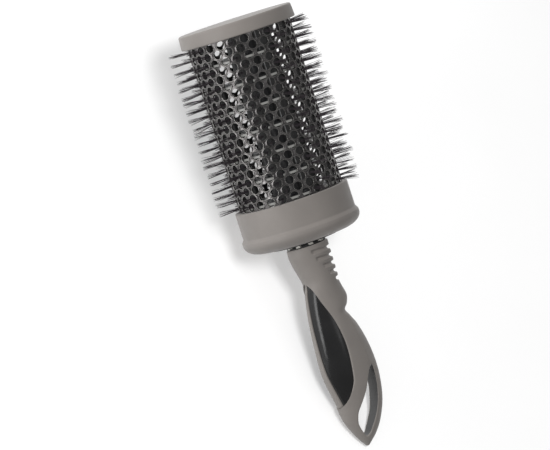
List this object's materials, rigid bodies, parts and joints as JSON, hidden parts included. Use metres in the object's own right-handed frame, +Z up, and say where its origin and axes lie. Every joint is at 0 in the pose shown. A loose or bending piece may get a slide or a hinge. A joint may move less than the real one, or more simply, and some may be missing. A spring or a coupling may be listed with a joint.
{
  "type": "round barrel brush",
  "caption": "Thermal round hairbrush with a perforated metal barrel, rows of bristles, a bumper collar that swivels, and a soft-grip handle with a hanging slot",
  "frame": {"origin": "The centre of the bounding box's base, on the table that the brush lies on.", "axes": "The brush lies as it comes to rest on a flat table, on its bristles and on the underside of the handle's tip. +Z is up. The barrel is at -X and the handle's tip at +X, and the brush's own axis slopes down towards +X by 14.2 degrees. The finger side of the handle faces +Y, and the handle's front faces up, leaning 11 degrees towards the side away from +Y."},
  "size_m": [0.251, 0.0844, 0.1033],
  "materials": {
    "soft_grip": "warm grey soft-touch rubber, matte with a faint sheen",
    "barrel_metal": "dark gunmetal coating, semi-gloss",
    "bristle_nylon": "black nylon filaments",
    "gloss_black": "polished black plastic",
    "black_plastic": "black moulded plastic",
    "carrier_plastic": "pale grey moulded plastic",
    "acetal": "natural white plastic",
    "bush_bronze": "sintered bronze",
    "steel": "turned steel"
  },
  "bodies": {
    "handle": {"swivel_stem": "steel", "stem_pin": "steel", "spring_washer": "steel", "end_washer": "steel", "end_screw": "steel", "thrust_washer": "acetal", "crown_ring": "soft_grip", "handle_core": "gloss_black", "grip_overmould": "soft_grip"},
    "barrel": {"end_cap": "soft_grip", "end_plug": "black_plastic", "barrel_tube": "barrel_metal", "bristle_carrier": "carrier_plastic", "bristle_strip_1": "bristle_nylon", "bristle_strip_2": "bristle_nylon", "bristle_strip_3": "bristle_nylon", "bristle_strip_4": "bristle_nylon", "bristle_strip_5": "bristle_nylon", "bristle_strip_6": "bristle_nylon", "bristle_strip_7": "bristle_nylon", "bristle_strip_8": "bristle_nylon", "bristle_strip_9": "bristle_nylon", "collar_sleeve": "soft_grip", "collar_hub": "black_plastic", "click_ring": "black_plastic", "hub_bush": "bush_bronze"}
  },
  "joints": [
    {"name": "barrel_swivel", "type": "hinge", "parent": "handle", "child": "barrel", "pos_m": [-0.11769, 0, 0.0646], "axis": [0.9694, 0, -0.2453], "continuous": true}
  ]
}
